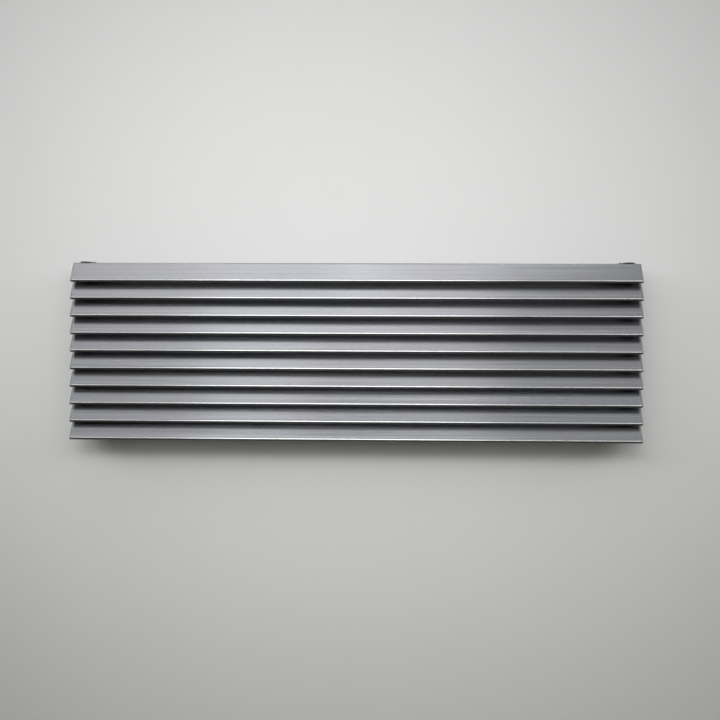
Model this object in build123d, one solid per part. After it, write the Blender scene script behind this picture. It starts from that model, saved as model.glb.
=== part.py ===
from build123d import *
from math import cos, radians, sin
import os

# A wall-hung hot-water radiator. Ten hollow steel blades lie one above another like the
# slats of a blind, each leaning back at the top. Short stubs weld every blade to a square
# upright collector near each end. Water enters one collector from below, crosses all the
# blades side by side and leaves by the other. A bleed vent closes the top of the left
# collector and a blanking plug the top of the right one. Studs on the collectors hang in
# four angle brackets on the wall.
#
# Millimetres. X runs along the blades, Y points into the wall and Z is up. The origin is on
# the wall, in the middle of the four main screw slots, which is also the blades' mid-height.

# Driving dimensions: blades
BLADE_LENGTH = 1200.0
BLADE_COUNT = 10
BLADE_PITCH = 37.0
BLADE_CHORD = 47.0            # width of the flat-oval tube, nose to nose
BLADE_THICKNESS = 8.0
BLADE_WALL = 1.2
BLADE_TILT = 29.0             # degrees that the blade leans back from upright
END_CAP_THICKNESS = 1.5
PROJECTION = 90.0             # wall to the foremost edge of the blades

# Driving dimensions: collectors, their sockets and the stubs
COLLECTOR_SIDE = 30.0
COLLECTOR_WALL = 1.5
COLLECTOR_CORNER = 3.0
COLLECTOR_INSET = 20.0        # blade end to collector axis
COLLECTOR_GAP = 30.0          # wall to the collector's rear face
COLLECTOR_DROP = 2.0          # the collector ends this far inside the blades' height
SOCKET_LENGTH = 12.0
PIPE_THREAD_RADIUS = 9.316    # half-inch parallel pipe thread, at its crest in the socket
STUB_RADIUS = 8.0
STUB_BORE_RADIUS = 6.5

# Driving dimensions: plug and gaskets. Plain cylinders stand for threads.
THREAD_CLEARANCE = 0.06       # round a cylinder that stands for a thread
GASKET_THICKNESS = 1.5
GASKET_RADIUS = 12.0
SHANK_LENGTH = 10.0
PLUG_RADIUS = 13.5
PLUG_HEAD = 4.5
PLUG_EDGE = 0.8
PLUG_KEY = 10.0               # across flats
PLUG_KEY_DEPTH = 7.0

# Driving dimensions: bleed vent
VENT_RADIUS = 12.0
VENT_FLANGE = 1.8
NECK_RADIUS = 7.2
NECK_HEIGHT = 2.95
LIP_OVERHANG = 0.7            # of the neck's lip, which keeps the ring on
LIP_HEIGHT = 0.6
LIP_CLEARANCE = 0.2
RING_HEIGHT = 2.8
RING_LIFT = 0.1               # clearance under the turning ring
RING_BORE_CLEARANCE = 0.06
CHANNEL_DEPTH = 1.2           # of the groove inside the ring that feeds the spout
CHANNEL_HEIGHT = 1.2
SPOUT_RADIUS = 1.3
SPOUT_BORE_RADIUS = 0.65
SPOUT_REACH = 14.0
SPOUT_ROOT = 1.5              # length of the spout that is inside the ring
KEY_WELL_RADIUS = 5.2         # room for the bleed key round the needle's square
KEY_WELL_FLOOR = -1.0         # from the flange's underside
NEEDLE_RADIUS = 3.98
NEEDLE_BORE_RADIUS = 4.03
NEEDLE_ROUND = 5.5
NEEDLE_SQUARE = 5.0           # side and height of the key square
SEAL_RADIUS = 3.0
SEAL_THICKNESS = 1.4
SEAL_GAP = 0.1
SEAT_RADIUS = 1.25
SEAT_THICKNESS = 2.0
PASSAGE_RADIUS = 0.6
PASSAGE_OFFSET = 6.2          # from the vent's axis, in the wall between well and ring
PASSAGE_BLIND_END = 0.8       # the drill runs this far past the cross holes
CROSS_HOLE_RADIUS = 0.5

# Driving dimensions: wall brackets. The heights are from the main slot.
SLOT_X = 545.0                # main screw slot from the middle
SLOT_Z = 150.0                # main screw slot above or below the middle
SLOT_HALF_WIDTH = 4.0
SLOT_LENGTH = 14.0
STEADY_HOLE_DROP = 22.0
STEADY_HOLE_RADIUS = 2.75
BRACKET_SHEET = 4.0
BRACKET_BEND = 3.0            # inside radius
BRACKET_REACH = 56.0          # wall to the arm's front edge
BRACKET_FOOT = 44.0           # width of the foot on the wall
ARM_GAP = 2.5                 # arm to collector
ARM_TOP = 41.0
ARM_TOP_LENGTH = 6.0          # level stretch of the arm's top behind the notch
ARM_ROOT = 12.0               # level stretch of the arm's underside at the wall
ARM_NOSE_LOW = 2.0            # lower end of the arm's front edge
FOOT_TOP = 30.0
FOOT_BOTTOM = -34.0
FOOT_TOP_STEP = 2.0           # the arm's top starts falling this far in front of the foot

# Driving dimensions: studs, and what holds them in the brackets
STUD_HEIGHT = 18.0
STUD_RADIUS = 5.0
STUD_INSIDE = 4.0
LINER_THICKNESS = 1.1
LINER_CLEARANCE = 0.1
LINER_LEG = 18.0              # height of the liner's legs above the stud
LINER_FLANGE = 2.5
LINER_INNER_FLANGE = 0.9
LINER_OUTER_FLANGE = 0.8
WASHER_CLEARANCE = 0.2        # washer to liner
WASHER_RADIUS = 10.0
WASHER_HOLE_RADIUS = 3.2
WASHER_THICKNESS = 1.5
SCREW_RADIUS = 2.5            # M6 screw, at the root of its thread
SCREW_LENGTH = 8.0
SCREW_HEAD_RADIUS = 5.25
SCREW_HEAD = 3.3
SCREW_HEAD_ROUNDING = 1.6
SCREW_KEY = 4.0               # across flats
SCREW_KEY_DEPTH = 2.0
SCREW_HOLE_SPARE = 1.0        # depth of the tapped hole past the screw's tip

# Cuts run this far past the faces that they open
PAST = 1.0

# Worked-out places
nose = BLADE_THICKNESS / 2
web = BLADE_CHORD - BLADE_THICKNESS              # between the centres of the two noses
lean = radians(BLADE_TILT)
blade_y = -PROJECTION + nose + web / 2 * sin(lean)
blade_half_height = nose + web / 2 * cos(lean)
blade_heights = [((BLADE_COUNT - 1) / 2 - n) * BLADE_PITCH for n in range(BLADE_COUNT)]
collector_x = BLADE_LENGTH / 2 - COLLECTOR_INSET
collector_y = -COLLECTOR_GAP - COLLECTOR_SIDE / 2
collector_front = collector_y - COLLECTOR_SIDE / 2
collector_top = blade_heights[0] + blade_half_height - COLLECTOR_DROP
collector_inner_x = collector_x - COLLECTOR_SIDE / 2
collector_bore = COLLECTOR_SIDE - 2 * COLLECTOR_WALL
collector_bore_corner = COLLECTOR_CORNER - COLLECTOR_WALL
flange_z = collector_top + GASKET_THICKNESS      # underside of the plug and vent flanges
shank_radius = PIPE_THREAD_RADIUS - THREAD_CLEARANCE
seat_z = flange_z - SHANK_LENGTH + SEAT_THICKNESS
neck_top = flange_z + VENT_FLANGE + NECK_HEIGHT
ring_low = flange_z + VENT_FLANGE + RING_LIFT
port_z = ring_low + RING_HEIGHT / 2              # height of the vent's port and spout
arm_x = collector_inner_x - ARM_GAP              # face of the arm that looks at the collector
arm_inner_x = arm_x - BRACKET_SHEET
notch_half_width = STUD_RADIUS + LINER_CLEARANCE + LINER_THICKNESS
stud_end_x = arm_inner_x - LINER_INNER_FLANGE - WASHER_CLEARANCE


def blade_bar(z, x_from, length, shrink=0.0):
    """Solid bar of the blade's flat-oval section, along +X, its sides taken in by shrink."""
    place = Plane(origin=(x_from, blade_y, z), x_dir=(0, 1, 0), z_dir=(1, 0, 0))
    outline = SlotCenterToCenter(web, BLADE_THICKNESS - 2 * shrink, rotation=90 - BLADE_TILT)
    return extrude(place * outline, length)


def rod_x(x_from, x_to, y, z, radius):
    """Cylinder along X."""
    start, end = sorted((x_from, x_to))
    return Pos((start + end) / 2, y, z) * Rot(0, 90, 0) * Cylinder(radius, end - start)


def rod_y(y_from, y_to, x, z, radius):
    """Cylinder along Y."""
    return Pos(x, (y_from + y_to) / 2, z) * Rot(90, 0, 0) * Cylinder(radius, y_to - y_from)


def rod_z(z_from, z_to, radius, x=0.0, y=0.0):
    """Cylinder along Z."""
    return Pos(x, y, (z_from + z_to) / 2) * Cylinder(radius, z_to - z_from)


def to_side(part, side):
    """A part made for the right side, or its mirror image for the left."""
    return part if side > 0 else mirror(part, Plane.YZ)


def blade_shell(z):
    """Flat-oval tube between its end caps, with a water hole pierced behind each stub."""
    start = -BLADE_LENGTH / 2 + END_CAP_THICKNESS
    length = BLADE_LENGTH - 2 * END_CAP_THICKNESS
    shell = blade_bar(z, start, length) - blade_bar(z, start, length, BLADE_WALL)
    # Each hole starts on the blade's mid-plane and leaves its rear face on the stub's axis.
    square_out = (0, cos(lean), -sin(lean))
    hole_y = blade_y + nose / cos(lean) - nose * cos(lean)
    hole_z = z + nose * sin(lean)
    for side in (-1, 1):
        place = Plane(origin=(side * collector_x, hole_y, hole_z), z_dir=square_out)
        shell -= extrude(place * Circle(STUB_BORE_RADIUS), BLADE_THICKNESS)
    return shell


def blade_end_caps(z):
    """The two plates that close a blade."""
    left = blade_bar(z, -BLADE_LENGTH / 2, END_CAP_THICKNESS)
    right = blade_bar(z, BLADE_LENGTH / 2 - END_CAP_THICKNESS, END_CAP_THICKNESS)
    return [left, right]


def blade_stubs(z):
    """Short tubes from the collectors' front faces to the blade's sloping rear face."""
    stubs = []
    for side in (-1, 1):
        x = side * collector_x
        tube = rod_y(blade_y, collector_front, x, z, STUB_RADIUS)
        tube -= rod_y(blade_y, collector_front, x, z, STUB_BORE_RADIUS)
        stubs.append(tube - blade_bar(z, x - COLLECTOR_SIDE, 2 * COLLECTOR_SIDE))
    return stubs


def square_bar(side_length, corner, z_from, height, x):
    """Upright square bar with rounded corners on a collector's axis."""
    place = Plane(origin=(x, collector_y, z_from))
    return extrude(place * RectangleRounded(side_length, side_length, corner), height)


def collector(side):
    """Upright square tube with holes for the stubs and for two hanging studs."""
    x = side * collector_x
    height = 2 * collector_top
    tube = square_bar(COLLECTOR_SIDE, COLLECTOR_CORNER, -collector_top, height, x)
    tube -= square_bar(collector_bore, collector_bore_corner, -collector_top, height, x)
    hole_end = collector_front + COLLECTOR_WALL + PAST
    for z in blade_heights:
        tube -= rod_y(collector_front - PAST, hole_end, x, z, STUB_BORE_RADIUS)
    for slot_z in (SLOT_Z, -SLOT_Z):
        tube -= stud_bar(side, slot_z)
    return tube


def collector_socket(side, z_from):
    """Block in a collector's end, with the pipe thread's plain bore."""
    x = side * collector_x
    block = square_bar(collector_bore, collector_bore_corner, z_from, SOCKET_LENGTH, x)
    return block - rod_z(z_from, z_from + SOCKET_LENGTH, PIPE_THREAD_RADIUS, x, collector_y)


def on_collector(part, side):
    """Moves a part made on the Z axis onto a collector's axis."""
    return Pos(side * collector_x, collector_y, 0) * part


def gasket():
    """Flat sealing ring under the plug's or the vent's flange."""
    ring = rod_z(collector_top, flange_z, GASKET_RADIUS)
    return ring - rod_z(collector_top, flange_z, PIPE_THREAD_RADIUS)


def blanking_plug():
    """Threaded plug with a round head and a hexagon recess for its key."""
    top = flange_z + PLUG_HEAD
    head = chamfer(rod_z(flange_z, top, PLUG_RADIUS).edges().group_by(Axis.Z)[-1], PLUG_EDGE)
    plug = head + rod_z(flange_z - SHANK_LENGTH, flange_z, shank_radius)
    hexagon = RegularPolygon(PLUG_KEY / 2, 6, major_radius=False)
    recess = extrude(Plane(origin=(0, 0, top - PLUG_KEY_DEPTH)) * hexagon, PLUG_KEY_DEPTH)
    return plug - recess


def vent_body():
    """Vent's threaded body: seat, needle bore, key well and the passage to the ring."""
    body = rod_z(flange_z - SHANK_LENGTH, flange_z, shank_radius)
    body += rod_z(flange_z, flange_z + VENT_FLANGE, VENT_RADIUS)
    body += rod_z(flange_z, neck_top, NECK_RADIUS)
    body += rod_z(neck_top - LIP_HEIGHT, neck_top, NECK_RADIUS + LIP_OVERHANG)
    body -= rod_z(flange_z - SHANK_LENGTH, seat_z, SEAT_RADIUS)
    body -= rod_z(seat_z, flange_z, NEEDLE_BORE_RADIUS)
    body -= rod_z(flange_z + KEY_WELL_FLOOR, neck_top, KEY_WELL_RADIUS)
    # Water passes from beside the seal, up through the wall and out into the ring's channel.
    low_z = seat_z + SEAL_THICKNESS / 2
    rise_y = -PASSAGE_OFFSET
    drill_low, drill_high = low_z - PASSAGE_BLIND_END, port_z + PASSAGE_BLIND_END
    body -= rod_z(drill_low, drill_high, PASSAGE_RADIUS, 0, rise_y)
    body -= rod_y(rise_y, 0, 0, low_z, CROSS_HOLE_RADIUS)
    return body - rod_y(-NECK_RADIUS - PAST, rise_y, 0, port_z, CROSS_HOLE_RADIUS)


def vent_nozzle_ring():
    """Ring that turns on the vent's neck and points the escaping water with its spout."""
    top = ring_low + RING_HEIGHT
    bore_radius = NECK_RADIUS + RING_BORE_CLEARANCE
    ring = rod_z(ring_low, top, VENT_RADIUS)
    ring += rod_y(-SPOUT_REACH, -VENT_RADIUS + SPOUT_ROOT, 0, port_z, SPOUT_RADIUS)
    ring -= rod_z(ring_low, top, bore_radius)
    ring -= rod_z(top - LIP_HEIGHT, top, NECK_RADIUS + LIP_OVERHANG + LIP_CLEARANCE)
    channel_low = port_z - CHANNEL_HEIGHT / 2
    ring -= rod_z(channel_low, channel_low + CHANNEL_HEIGHT, NECK_RADIUS + CHANNEL_DEPTH)
    return ring - rod_y(-SPOUT_REACH, -NECK_RADIUS, 0, port_z, SPOUT_BORE_RADIUS)


def vent_seal():
    """Rubber disc that the needle presses on the seat."""
    return rod_z(seat_z, seat_z + SEAL_THICKNESS, SEAL_RADIUS)


def vent_needle():
    """Threaded needle with a square for the bleed key."""
    low = seat_z + SEAL_THICKNESS + SEAL_GAP
    shoulder = low + NEEDLE_ROUND
    square = Box(NEEDLE_SQUARE, NEEDLE_SQUARE, NEEDLE_SQUARE)
    return rod_z(low, shoulder, NEEDLE_RADIUS) + Pos(0, 0, shoulder + NEEDLE_SQUARE / 2) * square


def bracket_angle(low, height):
    """Bent sheet of the bracket before it is trimmed: foot on the wall and arm towards the room."""
    foot_x = arm_x - BRACKET_FOOT
    outline = Polyline(
        (arm_x, 0),
        (arm_x, -BRACKET_REACH),
        (arm_inner_x, -BRACKET_REACH),
        (arm_inner_x, -BRACKET_SHEET),
        (foot_x, -BRACKET_SHEET),
        (foot_x, 0),
        close=True,
    )
    sheet = make_face(outline)
    inner_corner = sheet.vertices().sort_by_distance((arm_inner_x, -BRACKET_SHEET, 0))[0]
    sheet = fillet(inner_corner, BRACKET_BEND)
    outer_corner = sheet.vertices().sort_by_distance((arm_x, 0, 0))[0]
    sheet = fillet(outer_corner, BRACKET_BEND + BRACKET_SHEET)
    return extrude(Plane(origin=(0, 0, low)) * sheet, height)


def bracket(side, slot_z):
    """Angle bracket with a notch open at the top of its arm, a main slot and a steady hole."""
    part = bracket_angle(slot_z + FOOT_BOTTOM, ARM_TOP - FOOT_BOTTOM)

    # The arm narrows towards its front, and its top falls back to the foot's.
    under_arm = Polyline(
        (-BRACKET_REACH - PAST, FOOT_BOTTOM - PAST),
        (-ARM_ROOT, FOOT_BOTTOM - PAST),
        (-ARM_ROOT, FOOT_BOTTOM),
        (-BRACKET_REACH, ARM_NOSE_LOW),
        (-BRACKET_REACH - PAST, ARM_NOSE_LOW),
        close=True,
    )
    top_end = collector_y + notch_half_width + ARM_TOP_LENGTH
    over_foot = Polyline(
        (PAST, ARM_TOP + PAST),
        (top_end, ARM_TOP + PAST),
        (top_end, ARM_TOP),
        (-BRACKET_SHEET - FOOT_TOP_STEP, FOOT_TOP),
        (PAST, FOOT_TOP),
        close=True,
    )
    side_plane = Plane(origin=(0, 0, slot_z), x_dir=(0, 1, 0), z_dir=(1, 0, 0))
    for outline in (under_arm, over_foot):
        part -= extrude(side_plane * make_face(outline), arm_x + PAST)

    stud_z = slot_z + STUD_HEIGHT
    part -= rod_x(arm_inner_x - PAST, arm_x + PAST, collector_y, stud_z, notch_half_width)
    notch_height = ARM_TOP - STUD_HEIGHT + PAST
    notch = Box(BRACKET_SHEET + 2 * PAST, 2 * notch_half_width, notch_height)
    part -= Pos(arm_x - BRACKET_SHEET / 2, collector_y, stud_z + notch_height / 2) * notch

    slot = SlotOverall(SLOT_LENGTH, 2 * SLOT_HALF_WIDTH)
    wall_plane = Plane(origin=(SLOT_X, PAST, slot_z), x_dir=(1, 0, 0), z_dir=(0, -1, 0))
    part -= extrude(wall_plane * slot, BRACKET_SHEET + 2 * PAST)
    steady_z = slot_z - STEADY_HOLE_DROP
    part -= rod_y(-BRACKET_SHEET - PAST, PAST, SLOT_X, steady_z, STEADY_HOLE_RADIUS)
    return to_side(part, side)


def notch_bar(x_low, x_high, half_width, height, stud_z):
    """Round-bottomed upright bar, like a filled notch, between two places on X."""
    leg = Box(x_high - x_low, 2 * half_width, height)
    leg_place = Pos((x_low + x_high) / 2, collector_y, stud_z + height / 2)
    return rod_x(x_low, x_high, collector_y, stud_z, half_width) + leg_place * leg


def bracket_liner(side, slot_z):
    """Nylon channel that clips into the notch, so that the steel can creep as it warms."""
    stud_z = slot_z + STUD_HEIGHT
    low_x = arm_inner_x - LINER_INNER_FLANGE
    high_x = arm_x + LINER_OUTER_FLANGE
    flange_width = notch_half_width + LINER_FLANGE
    part = notch_bar(arm_inner_x, arm_x, notch_half_width, LINER_LEG, stud_z)
    part += notch_bar(low_x, arm_inner_x, flange_width, LINER_LEG, stud_z)
    part += notch_bar(arm_x, high_x, flange_width, LINER_LEG, stud_z)
    way = STUD_RADIUS + LINER_CLEARANCE
    part -= notch_bar(low_x - PAST, high_x + PAST, way, LINER_LEG + PAST, stud_z)
    return to_side(part, side)


def stud_bar(side, slot_z):
    """Hanging stud before it is tapped: it passes through the collector's inner side wall."""
    inside_x = collector_inner_x + COLLECTOR_WALL + STUD_INSIDE
    stud_z = slot_z + STUD_HEIGHT
    return rod_x(side * stud_end_x, side * inside_x, collector_y, stud_z, STUD_RADIUS)


def hanging_stud(side, slot_z):
    """Stud that hangs in a bracket's notch, tapped for its retaining screw."""
    hole_end = stud_end_x + SCREW_LENGTH + SCREW_HOLE_SPARE
    stud_z = slot_z + STUD_HEIGHT
    hole_radius = SCREW_RADIUS + THREAD_CLEARANCE
    hole = rod_x(side * stud_end_x, side * hole_end, collector_y, stud_z, hole_radius)
    return stud_bar(side, slot_z) - hole


def retaining_washer(side, slot_z):
    """Large washer on the stud's end, which keeps the radiator from sliding sideways."""
    low_x = stud_end_x - WASHER_THICKNESS
    stud_z = slot_z + STUD_HEIGHT
    disc = rod_x(low_x, stud_end_x, collector_y, stud_z, WASHER_RADIUS)
    return to_side(disc - rod_x(low_x, stud_end_x, collector_y, stud_z, WASHER_HOLE_RADIUS), side)


def retaining_screw(side, slot_z):
    """Button-head screw that holds the washer."""
    seat_x = stud_end_x - WASHER_THICKNESS
    top_x = seat_x - SCREW_HEAD
    stud_z = slot_z + STUD_HEIGHT
    head = rod_x(top_x, seat_x, collector_y, stud_z, SCREW_HEAD_RADIUS)
    head = fillet(head.edges().group_by(Axis.X)[0], SCREW_HEAD_ROUNDING)
    screw = head + rod_x(seat_x, stud_end_x + SCREW_LENGTH, collector_y, stud_z, SCREW_RADIUS)
    place = Plane(origin=(top_x, collector_y, stud_z), x_dir=(0, 1, 0), z_dir=(1, 0, 0))
    hexagon = RegularPolygon(SCREW_KEY / 2, 6, major_radius=False)
    return to_side(screw - extrude(place * hexagon, SCREW_KEY_DEPTH), side)


def save(name, parts):
    """Writes one node, a single solid or a group of separate ones, and prints its volume."""
    solids = [solid for part in parts for solid in part.solids()]
    shape = solids[0] if len(solids) == 1 else Compound(children=solids)
    export_step(shape, f"parts/{name}.step")
    cubic_centimetres = sum(solid.volume for solid in solids) / 1000
    print(f"{name:28s} {len(solids):2d} solids {cubic_centimetres:9.2f} cm3")


def main():
    os.makedirs("parts", exist_ok=True)
    for number, z in enumerate(blade_heights, 1):
        save(f"blade_{number:02d}", [blade_shell(z)])
        save(f"blade_{number:02d}_end_caps", blade_end_caps(z))
        save(f"blade_{number:02d}_stubs", blade_stubs(z))

    for side, side_name in ((-1, "left"), (1, "right")):
        save(f"{side_name}_collector", [collector(side)])
        save(f"{side_name}_top_socket", [collector_socket(side, collector_top - SOCKET_LENGTH)])
        save(f"{side_name}_bottom_socket", [collector_socket(side, -collector_top)])
        for slot_z, level in ((SLOT_Z, "upper"), (-SLOT_Z, "lower")):
            save(f"{level}_{side_name}_bracket", [bracket(side, slot_z)])
            save(f"{level}_{side_name}_bracket_liner", [bracket_liner(side, slot_z)])

    save("blanking_plug", [on_collector(blanking_plug(), 1)])
    save("blanking_plug_gasket", [on_collector(gasket(), 1)])
    save("vent_body", [on_collector(vent_body(), -1)])
    save("vent_gasket", [on_collector(gasket(), -1)])
    save("vent_nozzle_ring", [on_collector(vent_nozzle_ring(), -1)])
    save("vent_seal", [on_collector(vent_seal(), -1)])
    save("vent_needle", [on_collector(vent_needle(), -1)])

    corners = [(side, slot_z) for slot_z in (SLOT_Z, -SLOT_Z) for side in (-1, 1)]
    save("hanging_studs", [hanging_stud(side, slot_z) for side, slot_z in corners])
    save("retaining_washers", [retaining_washer(side, slot_z) for side, slot_z in corners])
    save("retaining_screws", [retaining_screw(side, slot_z) for side, slot_z in corners])


main()
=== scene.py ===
from math import atan2, cos, degrees, hypot, pi, radians, sin

import bmesh
import bpy
import numpy as np
from bpy.props import FloatProperty, FloatVectorProperty, IntProperty, PointerProperty
from mathutils import Matrix, Vector


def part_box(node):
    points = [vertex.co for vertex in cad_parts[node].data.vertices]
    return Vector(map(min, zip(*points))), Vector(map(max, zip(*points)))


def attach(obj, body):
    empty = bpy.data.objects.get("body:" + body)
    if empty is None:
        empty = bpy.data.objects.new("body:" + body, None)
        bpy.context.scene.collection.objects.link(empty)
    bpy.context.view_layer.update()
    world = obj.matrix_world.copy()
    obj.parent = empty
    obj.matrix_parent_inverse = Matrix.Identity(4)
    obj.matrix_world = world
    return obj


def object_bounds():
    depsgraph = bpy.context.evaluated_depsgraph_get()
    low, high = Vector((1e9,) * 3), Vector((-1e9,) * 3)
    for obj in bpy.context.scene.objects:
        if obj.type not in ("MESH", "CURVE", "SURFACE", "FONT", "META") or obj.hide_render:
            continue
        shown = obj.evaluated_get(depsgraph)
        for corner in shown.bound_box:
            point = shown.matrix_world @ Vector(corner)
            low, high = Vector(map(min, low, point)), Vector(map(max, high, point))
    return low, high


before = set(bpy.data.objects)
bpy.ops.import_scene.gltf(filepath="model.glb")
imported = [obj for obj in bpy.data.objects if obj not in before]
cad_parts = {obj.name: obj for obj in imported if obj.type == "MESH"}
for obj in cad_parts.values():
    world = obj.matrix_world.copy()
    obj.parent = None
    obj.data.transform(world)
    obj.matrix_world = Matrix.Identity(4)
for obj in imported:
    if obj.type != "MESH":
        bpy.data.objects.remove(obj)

bl_info = {
    "name": "Slatted Wall Radiator",
    "version": (1, 0, 0),
    "blender": (4, 5, 0),
    "location": "View3D > Sidebar > Radiator",
    "description": "Finishes, welds, threads and studio for a wall radiator of tilted steel blades",
    "category": "Object",
}

# Sizes of the CAD pieces that their boxes don't give, in metres
NOSE = 0.004                      # radius of a blade's rounded front and back edges
STUB_RADIUS = 0.008
HANGING_STUD_RADIUS = 0.005
PIPE_THREAD_RADIUS = 0.009316
SOCKET_CORNER = 0.0015
CAP_THICKNESS = 0.0015

# Places read from the frame, in metres
CAD_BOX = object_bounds()
BLADES = sorted(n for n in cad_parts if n.startswith("blade_") and n.count("_") == 1)
BLADE_BOXES = [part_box(name) for name in BLADES]
CAP_LOW, CAP_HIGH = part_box(BLADES[0] + "_end_caps")
BLADE_DEPTH = BLADE_BOXES[0][1].y - BLADE_BOXES[0][0].y
BLADE_HEIGHT = BLADE_BOXES[0][1].z - BLADE_BOXES[0][0].z
LEAN = atan2(BLADE_DEPTH - 2 * NOSE, BLADE_HEIGHT - 2 * NOSE)
WEB = hypot(BLADE_DEPTH - 2 * NOSE, BLADE_HEIGHT - 2 * NOSE)
BLADE_Y = (BLADE_BOXES[0][0].y + BLADE_BOXES[0][1].y) / 2
BLADE_HEIGHTS = [(low.z + high.z) / 2 for low, high in BLADE_BOXES]
COLLECTORS = {side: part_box(side + "_collector") for side in ("left", "right")}
SOCKETS = {side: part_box(side + "_bottom_socket") for side in ("left", "right")}
COLLECTOR_FRONT = COLLECTORS["left"][0].y
COLLECTOR_Y = (COLLECTORS["left"][0].y + COLLECTORS["left"][1].y) / 2

# Directions that parts of a blade's skin look in
UNSHADED_SIDE = (0.0, -0.6, 0.8)   # up and forward; blade faces turned away from it get a painted shade
NOSE_AHEAD = (0.0, -0.99, 0.12)   # straight out of the wall; blade noses facing this way get a painted highlight


def middle_x(box):
    """Middle of a box on X."""
    return (box[0].x + box[1].x) / 2


class RadiatorSizes(bpy.types.PropertyGroup):
    """Sizes of the pieces that are added to the CAD ones, and of the studio."""
    weld_bead: FloatProperty(name="Weld bead", description="Radius of the beads round the stubs",
                             default=0.0013, unit="LENGTH")
    weld_ripples: IntProperty(name="Weld ripples", description="Ripples round one stub weld", default=26)
    seam_width: FloatProperty(name="Cap seam width", description="Half width of the end cap's seam",
                              default=0.00045, unit="LENGTH")
    seam_height: FloatProperty(name="Cap seam height", description="How far the cap's seam stands out",
                               default=0.00009, unit="LENGTH")
    thread_pitch: FloatProperty(name="Thread pitch", description="Pitch of the pipe thread",
                                default=0.001814, unit="LENGTH")
    thread_height: FloatProperty(name="Thread height", description="Height of the ridge in the socket",
                                 default=0.0006, unit="LENGTH")
    grip_ribs: IntProperty(name="Grip ribs", description="Ribs round the vent's ring", default=36)
    grip_rib: FloatProperty(name="Grip rib", description="Radius of one rib on the vent's ring",
                            default=0.00032, unit="LENGTH")
    camera_x: FloatProperty(name="Camera X", description="Camera to the middle of the radiator",
                            default=0.068, unit="LENGTH")
    camera_distance: FloatProperty(name="Camera distance", description="Camera to the blades' front edges",
                                   default=1.95, unit="LENGTH")
    camera_height: FloatProperty(name="Camera height", description="Camera over the middle of the radiator",
                                 default=-0.0168, unit="LENGTH")
    camera_turn: FloatProperty(name="Camera turn", description="How far the camera looks to the left",
                               default=radians(1.63), unit="ROTATION")
    camera_roll: FloatProperty(name="Camera roll", description="How far the camera is rolled",
                               default=radians(0.276), unit="ROTATION")
    camera_lens: FloatProperty(name="Lens", description="Focal length on a 36 mm sensor", default=46.66)
    light: FloatProperty(name="Light", description="Strength of all the softboxes together", default=1.0)
    floor_drop: FloatProperty(name="Floor drop", description="Middle of the radiator to the floor",
                              default=1.5, unit="LENGTH")


class RadiatorColours(bpy.types.PropertyGroup):
    """Colours of the finishes and of the studio."""
    blade: FloatVectorProperty(name="Blades", description="Brushed steel of the blades",
                               subtype="COLOR", default=(0.315, 0.324, 0.336))
    tint: FloatVectorProperty(name="Tint", description="Second shade, in patches of the brushed steel",
                              subtype="COLOR", default=(0.321, 0.313, 0.330))
    # Painted shade: dark steel colour for blade faces that look down or back, darkening the gaps between
    # blades
    painted_shade_colour: FloatVectorProperty(name="Mill finish", description="Unbrushed steel under and behind the blades",
                              subtype="COLOR", default=(0.10, 0.10, 0.103))
    # Painted highlight: bright steel colour along the blades' noses where they look straight ahead
    painted_highlight: FloatVectorProperty(name="Rubbed nose", description="Steel rubbed bright on the noses",
                                subtype="COLOR", default=(0.50, 0.50, 0.49))
    collector: FloatVectorProperty(name="Collectors", description="Brushed steel of the collectors",
                                   subtype="COLOR", default=(0.27, 0.272, 0.28))
    weld: FloatVectorProperty(name="Welds", description="Steel beside and on the welds",
                              subtype="COLOR", default=(0.28, 0.265, 0.25))
    bracket: FloatVectorProperty(name="Brackets", description="Darkened steel of the wall brackets",
                                 subtype="COLOR", default=(0.10, 0.10, 0.104))
    plating: FloatVectorProperty(name="Plating", description="Black nickel of the vent and plug",
                                 subtype="COLOR", default=(0.016, 0.016, 0.018))
    fastener: FloatVectorProperty(name="Fasteners", description="Steel of the screws and washers",
                                  subtype="COLOR", default=(0.58, 0.58, 0.59))
    brass: FloatVectorProperty(name="Brass", description="The vent's needle",
                               subtype="COLOR", default=(0.72, 0.52, 0.22))
    nylon: FloatVectorProperty(name="Nylon", description="Liners and the nozzle ring",
                               subtype="COLOR", default=(0.022, 0.022, 0.024))
    rubber: FloatVectorProperty(name="Rubber", description="Gaskets and the seal",
                                subtype="COLOR", default=(0.016, 0.016, 0.017))
    dust: FloatVectorProperty(name="Dust", description="Settled dust",
                              subtype="COLOR", default=(0.33, 0.32, 0.30))
    wall: FloatVectorProperty(name="Wall", description="Painted wall",
                              subtype="COLOR", default=(0.92, 0.92, 0.895))
    light: FloatVectorProperty(name="Light", description="Colour of the softboxes",
                               subtype="COLOR", default=(0.972, 0.985, 1.0))
    floor: FloatVectorProperty(name="Floor", description="Pale floor",
                               subtype="COLOR", default=(0.57, 0.56, 0.48))


# Node groups: each holds one effect that several finishes share

def new_group(name, inputs, outputs):
    """Empty shader node group with the named sockets, and its input and output nodes."""
    group = bpy.data.node_groups.new(name, "ShaderNodeTree")
    for socket, kind, default in inputs:
        made = group.interface.new_socket(name=socket, in_out="INPUT", socket_type=kind)
        if default is not None:
            made.default_value = default
    for socket, kind in outputs:
        group.interface.new_socket(name=socket, in_out="OUTPUT", socket_type=kind)
    return group, group.nodes.new("NodeGroupInput"), group.nodes.new("NodeGroupOutput")


def math_node(tree, operation, first, second=None, clamp=False):
    """Math node; each of the two values is a number or an output socket."""
    node = tree.nodes.new("ShaderNodeMath")
    node.operation = operation
    node.use_clamp = clamp
    for socket, value in zip(node.inputs, (first, second)):
        if isinstance(value, (int, float)):
            socket.default_value = value
        elif value is not None:
            tree.links.new(value, socket)
    return node.outputs[0]


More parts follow.
